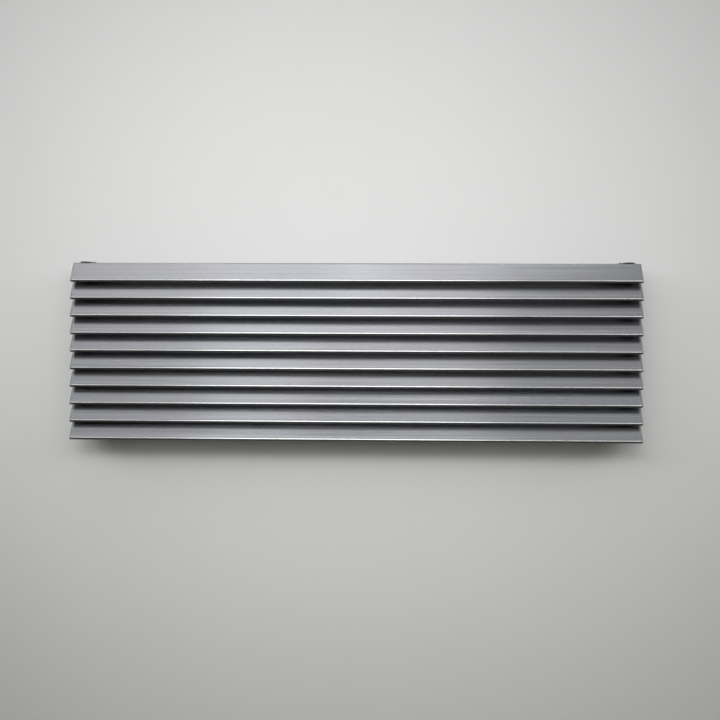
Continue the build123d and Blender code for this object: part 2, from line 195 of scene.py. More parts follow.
def noise_node(tree, vector, scale, detail, roughness=0.5):
    """Noise from 0 to 1 over a vector."""
    node = tree.nodes.new("ShaderNodeTexNoise")
    tree.links.new(vector, node.inputs["Vector"])
    node.inputs["Scale"].default_value = scale
    node.inputs["Detail"].default_value = detail
    node.inputs["Roughness"].default_value = roughness
    return node.outputs["Fac"]


def spread(tree, value, low, high, out_low=0.0, out_high=1.0):
    """Map Range node that stretches a value between two limits, clamped."""
    node = tree.nodes.new("ShaderNodeMapRange")
    tree.links.new(value, node.inputs["Value"])
    for name, number in (("From Min", low), ("From Max", high), ("To Min", out_low), ("To Max", out_high)):
        if isinstance(number, (int, float)):
            node.inputs[name].default_value = number
        else:
            tree.links.new(number, node.inputs[name])
    return node.outputs[0]


def mix_colour(tree, factor, first, second, blend="MIX"):
    """Mix Color node; each colour is a tuple or an output socket."""
    node = tree.nodes.new("ShaderNodeMix")
    node.data_type = "RGBA"
    node.blend_type = blend
    for socket, value in ((node.inputs[0], factor), (node.inputs[6], first), (node.inputs[7], second)):
        if isinstance(value, bpy.types.NodeSocket):
            tree.links.new(value, socket)
        else:
            socket.default_value = value if isinstance(value, (int, float)) else (*value, 1.0)
    return node.outputs[2]


def brushed_grain_group():
    """Brushing: noise drawn out along the grain, from long faint bands to fine scratches."""
    group, given, result = new_group(
        "Brushed Grain",
        [("Vector", "NodeSocketVector", None), ("Stretch", "NodeSocketVector", (1.0, 90.0, 90.0)),
         ("Band Strength", "NodeSocketFloat", 0.5), ("Scratch Strength", "NodeSocketFloat", 0.5)],
        [("Tone", "NodeSocketFloat"), ("Height", "NodeSocketFloat")])
    drawn = group.nodes.new("ShaderNodeVectorMath")
    drawn.operation = "MULTIPLY"
    group.links.new(given.outputs["Vector"], drawn.inputs[0])
    group.links.new(given.outputs["Stretch"], drawn.inputs[1])
    bands = noise_node(group, drawn.outputs[0], 1.5, 4.0, 0.6)
    scratches = noise_node(group, drawn.outputs[0], 26.0, 4.0, 0.7)
    bands = math_node(group, "MULTIPLY", math_node(group, "SUBTRACT", bands, 0.5),
                      given.outputs["Band Strength"])
    scratches = math_node(group, "MULTIPLY", math_node(group, "SUBTRACT", scratches, 0.5),
                          given.outputs["Scratch Strength"])
    height = math_node(group, "ADD", bands, scratches)
    tone = math_node(group, "ADD", height, 0.5, clamp=True)
    group.links.new(tone, result.inputs["Tone"])
    group.links.new(height, result.inputs["Height"])
    return group


def steel_tone_group():
    """Steel colour: soft patches between two shades, darkened and lightened by the grain."""
    group, given, result = new_group(
        "Steel Tone",
        [("Vector", "NodeSocketVector", None), ("Colour", "NodeSocketColor", (0.6, 0.6, 0.6, 1.0)),
         ("Tint", "NodeSocketColor", (0.55, 0.55, 0.62, 1.0)), ("Tone", "NodeSocketFloat", 0.5),
         ("Patch Scale", "NodeSocketFloat", 6.0), ("Contrast", "NodeSocketFloat", 0.12)],
        [("Colour", "NodeSocketColor")])
    noise = group.nodes.new("ShaderNodeTexNoise")
    noise.inputs["Detail"].default_value = 3.0
    group.links.new(given.outputs["Vector"], noise.inputs["Vector"])
    group.links.new(given.outputs["Patch Scale"], noise.inputs["Scale"])
    patches = spread(group, noise.outputs["Fac"], 0.42, 0.62)
    base = mix_colour(group, patches, given.outputs["Colour"], given.outputs["Tint"])
    swing = math_node(group, "MULTIPLY", math_node(group, "SUBTRACT", given.outputs["Tone"], 0.5),
                      given.outputs["Contrast"])
    gain = math_node(group, "ADD", math_node(group, "MULTIPLY", swing, 2.0), 1.0)
    scaled = group.nodes.new("ShaderNodeVectorMath")
    scaled.operation = "SCALE"
    group.links.new(base, scaled.inputs[0])
    group.links.new(gain, scaled.inputs["Scale"])
    group.links.new(scaled.outputs[0], result.inputs["Colour"])
    return group


def settled_dust_group():
    """Dust: lies on faces that look up, in uneven drifts."""
    group, given, result = new_group(
        "Settled Dust",
        [("Vector", "NodeSocketVector", None), ("Amount", "NodeSocketFloat", 0.3)],
        [("Mask", "NodeSocketFloat")])
    geometry = group.nodes.new("ShaderNodeNewGeometry")
    split = group.nodes.new("ShaderNodeSeparateXYZ")
    group.links.new(geometry.outputs["Normal"], split.inputs[0])
    upward = spread(group, split.outputs[2], 0.55, 0.98)
    drifts = spread(group, noise_node(group, given.outputs["Vector"], 60.0, 5.0, 0.65), 0.35, 0.7, 0.3, 1.0)
    mask = math_node(group, "MULTIPLY", math_node(group, "MULTIPLY", upward, drifts), given.outputs["Amount"])
    group.links.new(mask, result.inputs["Mask"])
    return group


def facing_group():
    """Facing: how squarely a face looks in one direction, with a ragged edge."""
    group, given, result = new_group(
        "Facing",
        [("Vector", "NodeSocketVector", None), ("Direction", "NodeSocketVector", UNSHADED_SIDE),
         ("Ragged", "NodeSocketFloat", 0.15)],
        [("Reach", "NodeSocketFloat")])
    geometry = group.nodes.new("ShaderNodeNewGeometry")
    facing = group.nodes.new("ShaderNodeVectorMath")
    facing.operation = "DOT_PRODUCT"
    group.links.new(geometry.outputs["Normal"], facing.inputs[0])
    group.links.new(given.outputs["Direction"], facing.inputs[1])
    noise = noise_node(group, given.outputs["Vector"], 90.0, 4.0)
    ragged = math_node(group, "MULTIPLY", noise, given.outputs["Ragged"])
    group.links.new(math_node(group, "ADD", facing.outputs["Value"], ragged), result.inputs["Reach"])
    return group


def edge_wear_group():
    """Wear: a rounded normal strays from the true one near an edge, and noise breaks up the line."""
    group, given, result = new_group(
        "Edge Wear",
        [("Vector", "NodeSocketVector", None), ("Width", "NodeSocketFloat", 0.0006),
         ("Amount", "NodeSocketFloat", 0.6)],
        [("Mask", "NodeSocketFloat")])
    bevel = group.nodes.new("ShaderNodeBevel")
    bevel.samples = 4
    group.links.new(given.outputs["Width"], bevel.inputs["Radius"])
    geometry = group.nodes.new("ShaderNodeNewGeometry")
    dot = group.nodes.new("ShaderNodeVectorMath")
    dot.operation = "DOT_PRODUCT"
    group.links.new(bevel.outputs[0], dot.inputs[0])
    group.links.new(geometry.outputs["Normal"], dot.inputs[1])
    edge = spread(group, dot.outputs["Value"], 0.98, 0.85)
    broken = spread(group, noise_node(group, given.outputs["Vector"], 420.0, 4.0, 0.6), 0.4, 0.6, 0.25, 1.0)
    mask = math_node(group, "MULTIPLY", math_node(group, "MULTIPLY", edge, broken), given.outputs["Amount"])
    group.links.new(mask, result.inputs["Mask"])
    return group


GROUP_MAKERS = {
    "Brushed Grain": brushed_grain_group,
    "Steel Tone": steel_tone_group,
    "Settled Dust": settled_dust_group,
    "Facing": facing_group,
    "Edge Wear": edge_wear_group,
}


def place_group(tree, name, vector, **values):
    """Group node in a material, made on first use, with its Vector linked and its values set."""
    node = tree.nodes.new("ShaderNodeGroup")
    node.node_tree = bpy.data.node_groups.get(name) or GROUP_MAKERS[name]()
    tree.links.new(vector, node.inputs["Vector"])
    for key, value in values.items():
        socket = node.inputs[key.replace("_", " ")]
        if isinstance(value, bpy.types.NodeSocket):
            tree.links.new(value, socket)
        else:
            socket.default_value = (*value, 1.0) if socket.type == "RGBA" else value
    return node


def new_material(name, colour):
    """Material with a Principled BSDF in the given colour, and its object coordinates."""
    material = bpy.data.materials.new(name)
    material.use_nodes = True
    material.diffuse_color = (*colour, 1.0)
    tree = material.node_tree
    shader = tree.nodes["Principled BSDF"]
    shader.inputs["Base Color"].default_value = (*colour, 1.0)
    coordinates = tree.nodes.new("ShaderNodeTexCoord").outputs["Object"]
    return material, tree, shader, coordinates


def bump(tree, shader, height, strength, distance):
    """Bump node from a height to the shader's normal."""
    node = tree.nodes.new("ShaderNodeBump")
    node.inputs["Strength"].default_value = strength
    node.inputs["Distance"].default_value = distance
    tree.links.new(height, node.inputs["Height"])
    tree.links.new(node.outputs[0], shader.inputs["Normal"])


def brushed_steel(name, colour, tint, grain_axis, roughness=(0.18, 0.29), anisotropy=0.6,
                  bands=0.9, contrast=0.30, dust=0.25, painted_shade_and_highlight=False):
    """Brushed stainless steel with its grain along one axis of the object. With painted shade and highlight,
    faces that look down or back get a dark painted shade, and faces that look straight ahead a painted
    highlight."""
    material, tree, shader, coordinates = new_material(name, colour)
    along = {"X": Vector((1, 0, 0)), "Y": Vector((0, 1, 0)), "Z": Vector((0, 0, 1))}[grain_axis]
    stretch = [1.2 if part else 140.0 for part in along]
    grain = place_group(tree, "Brushed Grain", coordinates, Stretch=stretch, Band_Strength=bands,
                        Scratch_Strength=0.55)
    tone = place_group(tree, "Steel Tone", coordinates, Colour=colour, Tint=tint, Patch_Scale=5.0,
                       Tone=grain.outputs["Tone"], Contrast=contrast)
    dusty = place_group(tree, "Settled Dust", coordinates, Amount=dust)
    colours = bpy.context.scene.radiator_colours
    steel, dull = tone.outputs["Colour"], dusty.outputs["Mask"]
    if painted_shade_and_highlight:
        # Painted shade: faces turned away from up and forward take a dark steel colour, darkening the gaps
        # between blades; they are made rougher too
        up_front = place_group(tree, "Facing", coordinates, Direction=UNSHADED_SIDE, Ragged=0.15)
        painted_shade_mask = spread(tree, up_front.outputs["Reach"], 0.50, 0.10)
        steel = mix_colour(tree, painted_shade_mask, steel, tuple(colours.painted_shade_colour))
        dull = math_node(tree, "ADD", dull, math_node(tree, "MULTIPLY", painted_shade_mask, 0.3))
        # Painted highlight: faces that look straight ahead, along the noses, take a bright steel colour.
        ahead = place_group(tree, "Facing", coordinates, Direction=NOSE_AHEAD, Ragged=0.01)
        painted_highlight = spread(tree, ahead.outputs["Reach"], 0.960, 0.985)
        steel = mix_colour(tree, painted_highlight, steel, tuple(colours.painted_highlight))
    tree.links.new(mix_colour(tree, dusty.outputs["Mask"], steel, tuple(colours.dust)),
                   shader.inputs["Base Color"])
    polish = spread(tree, grain.outputs["Tone"], 0.2, 0.8, *roughness)
    tree.links.new(math_node(tree, "ADD", polish, math_node(tree, "MULTIPLY", dull, 0.4)),
                   shader.inputs["Roughness"])
    metal = math_node(tree, "SUBTRACT", 1.0, dusty.outputs["Mask"])
    tree.links.new(metal, shader.inputs["Metallic"])
    shader.inputs["Anisotropic"].default_value = anisotropy
    # The tangent runs across the grain, so that highlights spread across it and stay sharp along it.
    geometry = tree.nodes.new("ShaderNodeNewGeometry")
    across = tree.nodes.new("ShaderNodeVectorMath")
    across.operation = "CROSS_PRODUCT"
    across.inputs[0].default_value = along
    tree.links.new(geometry.outputs["Normal"], across.inputs[1])
    tree.links.new(across.outputs[0], shader.inputs["Tangent"])
    bump(tree, shader, grain.outputs["Height"], 0.12, 0.0002)
    return material


def plain_metal(name, colour, roughness, wear=0.5, wear_colour=(0.5, 0.5, 0.5), speckle=300.0,
                dust=0.3, turned=False):
    """Turned, plated or bent metal: cloudy tone, brighter worn edges and a little dust."""
    material, tree, shader, coordinates = new_material(name, colour)
    stretch = (30.0, 30.0, 900.0) if turned else (60.0, 60.0, 60.0)
    grain = place_group(tree, "Brushed Grain", coordinates, Stretch=stretch, Band_Strength=0.5,
                        Scratch_Strength=0.4)
    dark = tuple(0.75 * part for part in colour)
    tone = place_group(tree, "Steel Tone", coordinates, Colour=colour, Tint=dark, Patch_Scale=speckle,
                       Tone=grain.outputs["Tone"], Contrast=0.2)
    edge = place_group(tree, "Edge Wear", coordinates, Amount=wear)
    dusty = place_group(tree, "Settled Dust", coordinates, Amount=dust)
    worn = mix_colour(tree, edge.outputs["Mask"], tone.outputs["Colour"], wear_colour)
    dust_colour = tuple(bpy.context.scene.radiator_colours.dust)
    tree.links.new(mix_colour(tree, dusty.outputs["Mask"], worn, dust_colour), shader.inputs["Base Color"])
    tree.links.new(spread(tree, grain.outputs["Tone"], 0.2, 0.8, roughness - 0.07, roughness + 0.1),
                   shader.inputs["Roughness"])
    tree.links.new(math_node(tree, "SUBTRACT", 1.0, dusty.outputs["Mask"]), shader.inputs["Metallic"])
    bump(tree, shader, grain.outputs["Height"], 0.15, 0.0001)
    return material


def moulded(name, colour, roughness, pebble=2600.0, dust=0.35):
    """Moulded nylon or rubber: fine pebbled skin, scuffed edges and a little dust."""
    material, tree, shader, coordinates = new_material(name, colour)
    pebbles = noise_node(tree, coordinates, pebble, 2.0)
    edge = place_group(tree, "Edge Wear", coordinates, Amount=0.35, Width=0.0003)
    dusty = place_group(tree, "Settled Dust", coordinates, Amount=dust)
    scuffed = mix_colour(tree, edge.outputs["Mask"], colour, tuple(3.0 * part for part in colour))
    dust_colour = tuple(bpy.context.scene.radiator_colours.dust)
    tree.links.new(mix_colour(tree, dusty.outputs["Mask"], scuffed, dust_colour), shader.inputs["Base Color"])
    tree.links.new(spread(tree, pebbles, 0.3, 0.7, roughness - 0.06, roughness + 0.06),
                   shader.inputs["Roughness"])
    bump(tree, shader, pebbles, 0.25, 0.0001)
    return material


def weld_steel():
    """Weld metal: ripples are in the mesh, and straw to blue heat colours lie over the steel."""
    colour = tuple(bpy.context.scene.radiator_colours.weld)
    material, tree, shader, coordinates = new_material("weld steel", colour)
    noise = noise_node(tree, coordinates, 240.0, 4.0, 0.6)
    ramp = tree.nodes.new("ShaderNodeValToRGB")
    stops = ((0.30, (0.36, 0.33, 0.30)), (0.48, (0.50, 0.44, 0.34)), (0.60, (0.38, 0.36, 0.44)),
             (0.72, (0.30, 0.33, 0.42)))
    for _ in stops[2:]:
        ramp.color_ramp.elements.new(0.5)
    for element, (position, shade) in zip(ramp.color_ramp.elements, stops):
        element.position = position
        element.color = (*shade, 1.0)
    tree.links.new(noise, ramp.inputs[0])
    dusty = place_group(tree, "Settled Dust", coordinates, Amount=0.3)
    dust_colour = tuple(bpy.context.scene.radiator_colours.dust)
    tree.links.new(mix_colour(tree, dusty.outputs["Mask"], ramp.outputs[0], dust_colour),
                   shader.inputs["Base Color"])
    shader.inputs["Metallic"].default_value = 1.0
    tree.links.new(spread(tree, noise, 0.3, 0.7, 0.3, 0.5), shader.inputs["Roughness"])
    return material


def painted(name, colour, roughness, mottle_scale, mottle, front_only=False):
    """Matt paint with a faint mottle; a front-only sheet lets a view from behind pass."""
    material, tree, shader, coordinates = new_material(name, colour)
    noise = noise_node(tree, coordinates, mottle_scale, 4.0)
    darker = tuple(part * (1 - mottle) for part in colour)
    tree.links.new(mix_colour(tree, noise, darker, colour), shader.inputs["Base Color"])
    shader.inputs["Roughness"].default_value = roughness
    if front_only:
        # Lamps behind the wall still reach the back of the radiator.
        geometry = tree.nodes.new("ShaderNodeNewGeometry")
        path = tree.nodes.new("ShaderNodeLightPath")
        open_side = math_node(tree, "MAXIMUM", geometry.outputs["Backfacing"], path.outputs["Is Shadow Ray"])
        clear = tree.nodes.new("ShaderNodeBsdfTransparent")
        mixed = tree.nodes.new("ShaderNodeMixShader")
        tree.links.new(open_side, mixed.inputs[0])
        tree.links.new(shader.outputs[0], mixed.inputs[1])
        tree.links.new(clear.outputs[0], mixed.inputs[2])
        tree.links.new(mixed.outputs[0], tree.nodes["Material Output"].inputs["Surface"])
    return material


def finish_nodes(material, *names):
    """Puts a material in every slot of the named CAD nodes."""
    for name in names:
        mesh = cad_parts[name].data
        if not mesh.materials:
            mesh.materials.append(material)
        for index in range(len(mesh.materials)):
            mesh.materials[index] = material


# Surfaces: a closed profile carried round a closed or open path, as one grid of points

def unit(vectors):
    """Vectors scaled to length one, along the last axis."""
    return vectors / np.linalg.norm(vectors, axis=-1, keepdims=True)


def carried_profile(path, tangent, up, half_width, half_height, around=10):
    """Ellipse carried along a path. Point = path + side * half_width * cos + up * half_height * sin,
    where side is square to the path's tangent and to up."""
    side = unit(np.cross(tangent, up))
    angle = np.linspace(0, 2 * pi, around, endpoint=False)
    shape = np.shape(path)[:1] + (1, 1)
    width = np.broadcast_to(half_width, np.shape(path)[:1]).reshape(shape)
    height = np.broadcast_to(half_height, np.shape(path)[:1]).reshape(shape)
    return (path[:, None, :] + side[:, None, :] * width * np.cos(angle)[None, :, None]
            + up[:, None, :] * height * np.sin(angle)[None, :, None])


def grid_faces(rows, columns, closed_path, offset):
    """Quads of a grid whose columns close on themselves, and whose rows do if the path is closed."""
    last = rows if closed_path else rows - 1
    row, column = np.meshgrid(np.arange(last), np.arange(columns), indexing="ij")
    next_row, next_column = (row + 1) % rows, (column + 1) % columns
    corners = (row * columns + column, next_row * columns + column,
               next_row * columns + next_column, row * columns + next_column)
    return np.stack([corner.ravel() for corner in corners], axis=1) + offset


def mesh_piece(name, grids, closed_path, material, body):
    """One object from a list of grids, its place in its mesh, its faces outwards and shaded smooth."""
    points, faces, ends, offset = [], [], [], 0
    for grid in grids:
        rows, columns = grid.shape[:2]
        points.append(grid.reshape(-1, 3))
        faces.append(grid_faces(rows, columns, closed_path, offset))
        if not closed_path:
            ends.append(list(range(offset, offset + columns)))
            ends.append(list(range(offset + (rows - 1) * columns, offset + rows * columns))[::-1])
        offset += rows * columns
    mesh = bpy.data.meshes.new(name)
    mesh.from_pydata(np.concatenate(points), [], np.concatenate(faces).tolist() + ends)
    mesh.polygons.foreach_set("use_smooth", np.ones(len(mesh.polygons), bool))
    mesh.materials.append(material)
    piece = bpy.data.objects.new(name, mesh)
    bpy.context.scene.collection.objects.link(piece)
    make_outward(mesh)
    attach(piece, body)
    return piece


def make_outward(mesh):
    """Turns the faces of a closed mesh outwards."""
    work = bmesh.new()
    work.from_mesh(mesh)
    bmesh.ops.recalc_face_normals(work, faces=work.faces)
    work.to_mesh(mesh)
    work.free()


def oval_path(height, x, count=96):
    """Flat-oval outline of a blade in its YZ plane: two straight sides and two half circles, walked
    by arc length. Gives points, tangents and outward normals."""
    straight, turn = WEB, pi * NOSE
    walk = np.linspace(0, 2 * (straight + turn), count, endpoint=False)
    half = (walk >= straight + turn).astype(float)
    rest = walk - half * (straight + turn)
    bend = np.clip(rest - straight, 0, None) / NOSE
    along = np.clip(rest, 0, straight) - straight / 2
    flip = 1 - 2 * half
    u, v = flip * (along + NOSE * np.sin(bend)), flip * NOSE * np.cos(bend)
    normal_u, normal_v = flip * np.sin(bend), flip * np.cos(bend)
    blade_u, blade_v = np.array([0, sin(LEAN), cos(LEAN)]), np.array([0, -cos(LEAN), sin(LEAN)])
    normal = normal_u[:, None] * blade_u + normal_v[:, None] * blade_v
    centre = np.array([x, BLADE_Y, height])
    points = centre + u[:, None] * blade_u + v[:, None] * blade_v
    return points, np.cross(normal, [1.0, 0, 0]), normal


def ring_path(centre, radius, axis_a, axis_b, slope=0.0, count=120):
    """Ring round a centre in the plane of two axes. With a slope, each point also moves along the
    third axis by slope times its second coordinate, which lays the ring on a slanted face."""
    angle = np.linspace(0, 2 * pi, count, endpoint=False)
    a, b = np.array(axis_a, float), np.array(axis_b, float)
    third = np.cross(a, b)
    points = (np.array(centre) + radius * np.cos(angle)[:, None] * a + radius * np.sin(angle)[:, None] * b
              + slope * radius * np.sin(angle)[:, None] * third)
    tangent = unit(-np.sin(angle)[:, None] * a + np.cos(angle)[:, None] * (b + slope * third))
    outward = np.cos(angle)[:, None] * a + np.sin(angle)[:, None] * b
    return points, tangent, unit(outward - (outward * tangent).sum(1, keepdims=True) * tangent)


def ripples(count, turns, depth=0.16):
    """Bead size along a weld: each ripple swells and stops short, like a row of overlapping coins."""
    phase = np.linspace(0, turns, count, endpoint=False) % 1.0
    return 1 - depth + depth * np.sqrt(np.clip(1 - (2 * phase - 1) ** 2, 0, 1))


def rounded_square_path(centre, half_side, corner, count=96):
    """Square with rounded corners in the XY plane: the centre line of the corners' circle moved out
    to each corner in turn."""
    angle = np.linspace(0, 2 * pi, count, endpoint=False)
    quarter = np.floor(angle / (pi / 2))
    within = angle - quarter * pi / 2
    straight = half_side - corner
    turn = pi / 2 * corner
    walk = within / (pi / 2) * (2 * straight + turn)
    bend = np.clip((walk - straight) / corner, 0, pi / 2)
    first = np.clip(walk, 0, straight)
    second = np.clip(walk - straight - turn, 0, straight)
    x = half_side - corner * (1 - np.cos(bend)) - second
    y = first + corner * np.sin(bend)
    x, y = np.where(second > 0, straight - second, x), np.where(walk > straight + turn, half_side, y)
    normal_x, normal_y = np.cos(bend), np.sin(bend)
    turn_cos, turn_sin = np.cos(quarter * pi / 2), np.sin(quarter * pi / 2)
    zeros = np.zeros_like(x)
    points = np.stack([turn_cos * x - turn_sin * y, turn_sin * x + turn_cos * y, zeros], 1)
    outward = np.stack([turn_cos * normal_x - turn_sin * normal_y,
                        turn_sin * normal_x + turn_cos * normal_y, zeros], 1)
    return points + np.array(centre), np.cross([0, 0, 1.0], outward), outward


def helix_ridge(centre, radius, pitch, height, length, steps=60):
    """Thread ridge inside a socket: an ellipse carried on a helix, shrinking to nothing at both ends."""
    turns = length / pitch
    walk = np.linspace(0, 1, int(steps * turns))
    angle = 2 * pi * turns * walk
    radial = np.stack([np.cos(angle), np.sin(angle), np.zeros_like(angle)], 1)
    points = np.array(centre) + radius * radial
    points[:, 2] += length * walk
    around = np.stack([-np.sin(angle), np.cos(angle), np.zeros_like(angle)], 1)
    tangent = unit(radius * 2 * pi * around + np.array([0, 0, pitch]))
    fade = np.clip(np.minimum(walk, 1 - walk) * turns * 2, 0.02, 1)
    return carried_profile(points, tangent, radial, fade * pitch * 0.36, fade * height)


# Operators, one for each piece or group of like pieces

class RadiatorOperator(bpy.types.Operator):
    """Base of the operators, with short names for the two property groups."""
    bl_options = {"REGISTER", "UNDO"}

    @property
    def sizes(self):
        return bpy.context.scene.radiator_sizes

    @property
    def colours(self):
        return bpy.context.scene.radiator_colours


class RADIATOR_OT_blades(RadiatorOperator):
    """Brush the blades and their end caps along their length"""
    bl_idname = "radiator.blades"
    bl_label = "Blades"

    def execute(self, context):
        colour, tint = tuple(self.colours.blade), tuple(self.colours.tint)
        # The blades get a painted shade under and behind them and a painted highlight along their noses.
        brushed = brushed_steel("brushed blades", colour, tint, "X", painted_shade_and_highlight=True)
        finish_nodes(brushed, *BLADES)
        caps = brushed_steel("brushed end caps", colour, tint, "Z", bands=0.3)
        finish_nodes(caps, *(name + "_end_caps" for name in BLADES))
        return {"FINISHED"}


class RADIATOR_OT_cap_seams(RadiatorOperator):
    """Lay the thin ground seam between each blade and its end caps"""
    bl_idname = "radiator.cap_seams"
    bl_label = "Cap Seams"

    def execute(self, context):
        grids = []
        for height in BLADE_HEIGHTS:
            for x in (CAP_LOW.x + CAP_THICKNESS, CAP_HIGH.x - CAP_THICKNESS):
                points, tangent, normal = oval_path(height, x)
                grids.append(carried_profile(points, tangent, normal, self.sizes.seam_width,
                                             self.sizes.seam_height, around=8))
        material = plain_metal("ground seam", tuple(0.7 * c for c in self.colours.blade), 0.38, wear=0.0)
        mesh_piece("cap_seams", grids, True, material, "radiator")
        return {"FINISHED"}


class RADIATOR_OT_collectors(RadiatorOperator):
    """Brush the collectors upright, and finish the stubs and socket blocks"""
    bl_idname = "radiator.collectors"
    bl_label = "Collectors"

    def execute(self, context):
        colour = tuple(self.colours.collector)
        brushed = brushed_steel("brushed collectors", colour, tuple(0.93 * c for c in colour), "Z")
        finish_nodes(brushed, "left_collector", "right_collector")
        turned = plain_metal("turned steel", colour, 0.32, turned=True)
        finish_nodes(turned, *(name + "_stubs" for name in BLADES), "hanging_studs")
        blocks = [f"{side}_{end}_socket" for side in COLLECTORS for end in ("top", "bottom")]
        finish_nodes(turned, *blocks)
        return {"FINISHED"}


class RADIATOR_OT_welds(RadiatorOperator):
    """Lay rippled weld beads round the stubs, the hanging studs and the socket blocks"""
    bl_idname = "radiator.welds"
    bl_label = "Welds"

    def execute(self, context):
        material = weld_steel()
        for name, grids in (("stub_welds", self.stub_beads()), ("stud_welds", self.stud_beads()),
                            ("socket_seams", self.socket_seams())):
            mesh_piece(name, grids, True, material, "radiator")
        return {"FINISHED"}

    def bead(self, ring, size):
        """One rippled round bead on a ring's path, tangent and outward directions."""
        path, tangent, outward = ring
        radius = size * ripples(len(path), self.sizes.weld_ripples)
        return carried_profile(path, tangent, outward, radius, radius)

    def stub_beads(self):
        """Two beads on each stub: square on the collector, slanted on the blade's rear face."""
        x_axis, _, z_axis = np.eye(3)
        slope = sin(LEAN) / cos(LEAN)
        blade_rear = BLADE_Y + NOSE / cos(LEAN)
        grids = []
        for box in COLLECTORS.values():
            for height in BLADE_HEIGHTS:
                for y, slant in ((COLLECTOR_FRONT, 0.0), (blade_rear, -slope)):
                    ring = ring_path((middle_x(box), y, height), STUB_RADIUS, x_axis, z_axis, slant)
                    grids.append(self.bead(ring, self.sizes.weld_bead))
        return grids

    def stud_beads(self):
        """A smaller bead round each hanging stud, on the collector's inner face."""
        _, y_axis, z_axis = np.eye(3)
        low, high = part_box("hanging_studs")
        heights = (low.z + HANGING_STUD_RADIUS, high.z - HANGING_STUD_RADIUS)
        inner_faces = (COLLECTORS["left"][1].x, COLLECTORS["right"][0].x)
        rings = [ring_path((x, COLLECTOR_Y, height), HANGING_STUD_RADIUS, y_axis, z_axis)
                 for x in inner_faces for height in heights]
        return [self.bead(ring, 0.7 * self.sizes.weld_bead) for ring in rings]

    def socket_seams(self):
        """A flat ground seam round each socket block, at both ends of each collector."""
        seam_width, seam_height = 0.0003, 0.0006
        grids = []
        for side, (low, high) in SOCKETS.items():
            for z in (COLLECTORS[side][0].z, COLLECTORS[side][1].z):
                centre = (middle_x((low, high)), COLLECTOR_Y, z)
                ring = rounded_square_path(centre, (high.x - low.x) / 2, SOCKET_CORNER)
                grids.append(carried_profile(*ring, seam_width, seam_height))
        return grids


class RADIATOR_OT_socket_threads(RadiatorOperator):
    """Cut the pipe thread's ridge in the two lower sockets"""
    bl_idname = "radiator.socket_threads"
    bl_label = "Socket Threads"

    def execute(self, context):
        threaded_share = 0.84
        grids = []
        for low, high in SOCKETS.values():
            length = threaded_share * (high.z - low.z)
            start = low.z + (high.z - low.z - length) / 2
            centre = (middle_x((low, high)), COLLECTOR_Y, start)
            grids.append(helix_ridge(centre, PIPE_THREAD_RADIUS, self.sizes.thread_pitch,
                                     self.sizes.thread_height, length))
        material = plain_metal("cut thread", tuple(self.colours.collector), 0.25)
        mesh_piece("socket_threads", grids, False, material, "radiator")
        return {"FINISHED"}


class RADIATOR_OT_fittings(RadiatorOperator):
    """Finish the vent and the plug, and add the grip ribs on the vent's ring"""
    bl_idname = "radiator.fittings"
    bl_label = "Vent and Plug"

    def execute(self, context):
        plating = plain_metal("black nickel", tuple(self.colours.plating), 0.30, wear=0.35, dust=0.08,
                              wear_colour=(0.35, 0.33, 0.28), turned=True)
        finish_nodes(plating, "blanking_plug", "vent_body")
        finish_nodes(plain_metal("turned brass", tuple(self.colours.brass), 0.28, turned=True,
                                 wear_colour=(0.8, 0.62, 0.3)), "vent_needle")
        plastic = moulded("black nylon", tuple(self.colours.nylon), 0.5)
        finish_nodes(plastic, "vent_nozzle_ring")
        rubber = moulded("black rubber", tuple(self.colours.rubber), 0.68, pebble=4000.0)
        finish_nodes(rubber, "vent_seal", "vent_gasket", "blanking_plug_gasket")

        mesh_piece("grip_ribs", self.rib_grids(), False, plastic, "vent_nozzle")
        return {"FINISHED"}

    def rib_grids(self):
        """Upright ribs round the ring, rounded off at both ends. One is left out at the spout."""
        end_gap, steps = 0.0004, 8
        low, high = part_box("vent_nozzle_ring")
        axis = np.array([middle_x((low, high)), COLLECTOR_Y])
        ring_radius = (high.x - low.x) / 2
        rib, count = self.sizes.grip_rib, self.sizes.grip_ribs
        climb = np.linspace(0, 1, steps)
        heights = low.z + end_gap + climb * (high.z - low.z - 2 * end_gap)
        fade = np.sqrt(np.clip(1 - (2 * climb - 1) ** 4, 0.002, 1))
        tangent = np.tile([0, 0, 1.0], (steps, 1))
        grids = []
        for angle in -pi / 2 + 2 * pi * np.arange(1, count) / count:
            foot = axis + ring_radius * np.array([cos(angle), sin(angle)])
            path = np.column_stack([np.full(steps, foot[0]), np.full(steps, foot[1]), heights])
            outward = np.tile([cos(angle), sin(angle), 0], (steps, 1))
            grids.append(carried_profile(path, tangent, outward, rib * fade, rib * fade, around=8))
        return grids


class RADIATOR_OT_brackets(RadiatorOperator):
    """Finish the wall brackets, their liners, washers and screws"""
    bl_idname = "radiator.brackets"
    bl_label = "Brackets"

    def execute(self, context):
        arms = [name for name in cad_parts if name.endswith("_bracket")]
        steel = plain_metal("darkened sheet", tuple(self.colours.bracket), 0.42, wear=0.7, speckle=90.0)
        finish_nodes(steel, *arms)
        nylon = moulded("liner nylon", tuple(self.colours.nylon), 0.45)
        finish_nodes(nylon, *(name + "_liner" for name in arms))
        fastener = plain_metal("fastener steel", tuple(self.colours.fastener), 0.27, wear=0.3,
                               wear_colour=(0.7, 0.7, 0.7))
        finish_nodes(fastener, "retaining_washers", "retaining_screws")
        return {"FINISHED"}


